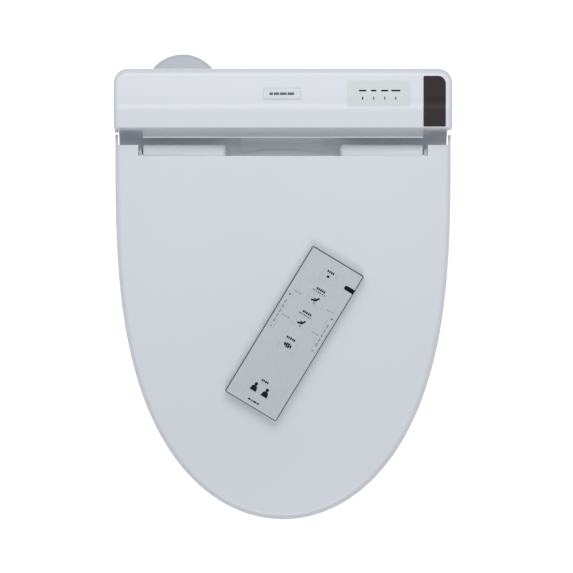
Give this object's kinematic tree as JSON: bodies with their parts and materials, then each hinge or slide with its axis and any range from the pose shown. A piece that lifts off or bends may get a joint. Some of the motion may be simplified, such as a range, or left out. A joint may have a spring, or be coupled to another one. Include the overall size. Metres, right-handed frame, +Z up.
{
  "type": "electric bidet seat",
  "caption": "Slim electric bidet seat for an elongated bowl: rear washing unit, heated seat and lid on a common hinge line, retractable spray wand, dryer, and a hand remote resting on the lid.",
  "frame": {"origin": "midway between the two bowl bolts, on the underside of the base plate, which is the plane of the bowl's rim", "axes": "+Z up out of the rim, +X to the right seen from the front, +Y to the rear"},
  "size_m": [0.387, 0.533, 0.134],
  "materials": {
    "white_gloss": "satin gloss white resin",
    "white_matte": "matt cool white resin",
    "grey_plate": "matt grey resin",
    "smoked_window": "polished infrared-pass resin",
    "panel_film": "clear-coated film",
    "silver_plate": "fine brushed",
    "remote_shell": "matt resin",
    "light_guide": "clear resin",
    "pad_rubber": "soft matt",
    "brass": "machined",
    "dark_resin": "glass-filled resin",
    "nozzle_resin": "self-cleaning smooth resin",
    "steel": "turned",
    "board": "solder mask",
    "heater_body": "heat-resistant resin",
    "heater_foil": "foil",
    "pipe": "silicone tube",
    "cell": "printed sleeve"
  },
  "bodies": {
    "main_unit": {"base_plate": "grey_plate", "lower_case": "white_matte", "upper_cover": "white_gloss", "inlet_cover": "white_matte", "nozzle_cover": "white_matte", "case_screws": "steel", "sensor_window": "smoked_window", "indicator_panel": "panel_film", "badge_plate": "silver_plate", "led_guides": "light_guide", "cord_gland": "white_matte", "inlet_spigot": "brass", "valve_unit": "dark_resin", "wash_pump": "dark_resin", "water_heater": "heater_body", "water_pipes": "pipe", "nozzle_guide": "dark_resin", "stepper_motor": "steel", "blower_housing": "dark_resin", "blower_motor": "steel", "dryer_duct": "dark_resin", "deodorizer_housing": "dark_resin", "control_board": "board", "power_supply": "board", "hinge_axles": "steel"},
    "seat": {"seat_top": "white_gloss", "seat_bottom": "white_matte", "seat_heater": "heater_foil", "seat_pads": "pad_rubber", "seat_damper": "dark_resin", "seat_bush": "nozzle_resin"},
    "lid": {"lid_shell": "white_gloss", "lid_pads": "pad_rubber", "lid_damper": "dark_resin"},
    "spray_wand": {"nozzle_wand": "nozzle_resin", "nozzle_tip": "nozzle_resin", "nozzle_rack": "nozzle_resin"},
    "pinion": {"drive_pinion": "nozzle_resin"},
    "filter": {"water_filter": "dark_resin"},
    "filter_handle": {"filter_knob": "white_matte"},
    "power_switch": {"power_button": "white_matte"},
    "release": {"release_button": "white_matte"},
    "blower_wheel": {"blower_impeller": "dark_resin"},
    "air_flap": {"dryer_flap": "white_matte"},
    "deodorizer_rotor": {"deodorizer_fan": "dark_resin"},
    "cartridge": {"deodorizer_cartridge": "dark_resin"},
    "remote": {"remote_case": "remote_shell", "remote_face": "silver_plate", "remote_board": "board", "batteries": "cell", "remote_window": "smoked_window"},
    "battery_door": {"battery_cover": "remote_shell"},
    "key_stop": {"stop_key": "silver_plate"},
    "key_rear": {"rear_key": "silver_plate"},
    "key_front": {"front_key": "silver_plate"},
    "key_dryer": {"dryer_key": "silver_plate"},
    "key_user_1": {"user_key_1": "silver_plate"},
    "key_user_2": {"user_key_2": "silver_plate"},
    "rocker_pressure": {"pressure_rocker": "silver_plate"},
    "rocker_position": {"position_rocker": "silver_plate"}
  },
  "joints": [
    {"name": "seat_hinge", "type": "hinge", "parent": "main_unit", "child": "seat", "pos_m": [0, -0.056, 0.07], "axis": [1, 0, 0], "range_deg": [-95, 0]},
    {"name": "lid_hinge", "type": "hinge", "parent": "seat", "child": "lid", "pos_m": [0, -0.056, 0.07], "axis": [-1, 0, 0], "range_deg": [0, 98]},
    {"name": "wand_slide", "type": "slide", "parent": "main_unit", "child": "spray_wand", "axis": [0, -0.9272, -0.3746], "range_m": [0, 0.07854]},
    {"name": "pinion_spin", "type": "hinge", "parent": "main_unit", "child": "pinion", "pos_m": [0, -0.03942, 0.02234], "axis": [1, 0, 0], "range_deg": [0, 563]},
    {"name": "filter_slide", "type": "slide", "parent": "main_unit", "child": "filter", "axis": [-1, 0, 0], "range_m": [0, 0.045]},
    {"name": "filter_knob_turn", "type": "hinge", "parent": "filter", "child": "filter_handle", "pos_m": [-0.1905, -0.016, 0.044], "axis": [1, 0, 0], "range_deg": [0, 90]},
    {"name": "power_press", "type": "slide", "parent": "main_unit", "child": "power_switch", "axis": [-1, 0, 0], "range_m": [0, 0.0015], "stiffness_N_per_m": 600, "springref_m": -0.001},
    {"name": "release_press", "type": "slide", "parent": "main_unit", "child": "release", "axis": [-1, 0, 0], "range_m": [0, 0.005], "stiffness_N_per_m": 900, "springref_m": -0.003},
    {"name": "blower_spin", "type": "hinge", "parent": "main_unit", "child": "blower_wheel", "pos_m": [0.052, 0.01, 0.044], "axis": [1, 0, 0], "continuous": true},
    {"name": "dryer_flap_turn", "type": "hinge", "parent": "main_unit", "child": "air_flap", "pos_m": [0.038, -0.0872, 0.0284], "axis": [-1, 0, 0], "range_deg": [0, 80], "stiffness_Nm_per_rad": 0.004, "springref_deg": -11.46},
    {"name": "deodorizer_spin", "type": "hinge", "parent": "main_unit", "child": "deodorizer_rotor", "pos_m": [0.125, -0.019, 0.028], "axis": [1, 0, 0], "continuous": true},
    {"name": "cartridge_slide", "type": "slide", "parent": "main_unit", "child": "cartridge", "axis": [1, 0, 0], "range_m": [0, 0.05]},
    {"name": "remote_lift", "type": "slide", "parent": "lid", "child": "remote", "axis": [0, -0.0815, 0.9967], "range_m": [0, 0.08]},
    {"name": "battery_door_slide", "type": "slide", "parent": "remote", "child": "battery_door", "axis": [-0.518, -0.8525, -0.0697], "range_m": [0, 0.03]},
    {"name": "key_stop_press", "type": "slide", "parent": "remote", "child": "key_stop", "axis": [0, 0.0815, -0.9967], "range_m": [0, 0.0008], "stiffness_N_per_m": 600, "springref_m": -0.0006},
    {"name": "key_rear_press", "type": "slide", "parent": "remote", "child": "key_rear", "axis": [0, 0.0815, -0.9967], "range_m": [0, 0.0008], "stiffness_N_per_m": 600, "springref_m": -0.0006},
    {"name": "key_front_press", "type": "slide", "parent": "remote", "child": "key_front", "axis": [0, 0.0815, -0.9967], "range_m": [0, 0.0008], "stiffness_N_per_m": 600, "springref_m": -0.0006},
    {"name": "key_dryer_press", "type": "slide", "parent": "remote", "child": "key_dryer", "axis": [0, 0.0815, -0.9967], "range_m": [0, 0.0008], "stiffness_N_per_m": 600, "springref_m": -0.0006},
    {"name": "key_user_1_press", "type": "slide", "parent": "remote", "child": "key_user_1", "axis": [0, 0.0815, -0.9967], "range_m": [0, 0.0008], "stiffness_N_per_m": 600, "springref_m": -0.0006},
    {"name": "key_user_2_press", "type": "slide", "parent": "remote", "child": "key_user_2", "axis": [0, 0.0815, -0.9967], "range_m": [0, 0.0008], "stiffness_N_per_m": 600, "springref_m": -0.0006},
    {"name": "pressure_rock", "type": "hinge", "parent": "remote", "child": "rocker_pressure", "pos_m": [-0.00266, -0.23083, 0.08835], "axis": [0.8554, -0.5163, -0.0422], "range_deg": [-1.2, 1.2], "stiffness_Nm_per_rad": 0.05},
    {"name": "position_rock", "type": "hinge", "parent": "remote", "child": "rocker_position", "pos_m": [0.04524, -0.25974, 0.08599], "axis": [0.8554, -0.5163, -0.0422], "range_deg": [-1.2, 1.2], "stiffness_Nm_per_rad": 0.05}
  ],
  "couplings": [
    {"joint": "pinion_spin", "follows": "wand_slide", "rad_per_m": 125}
  ]
}
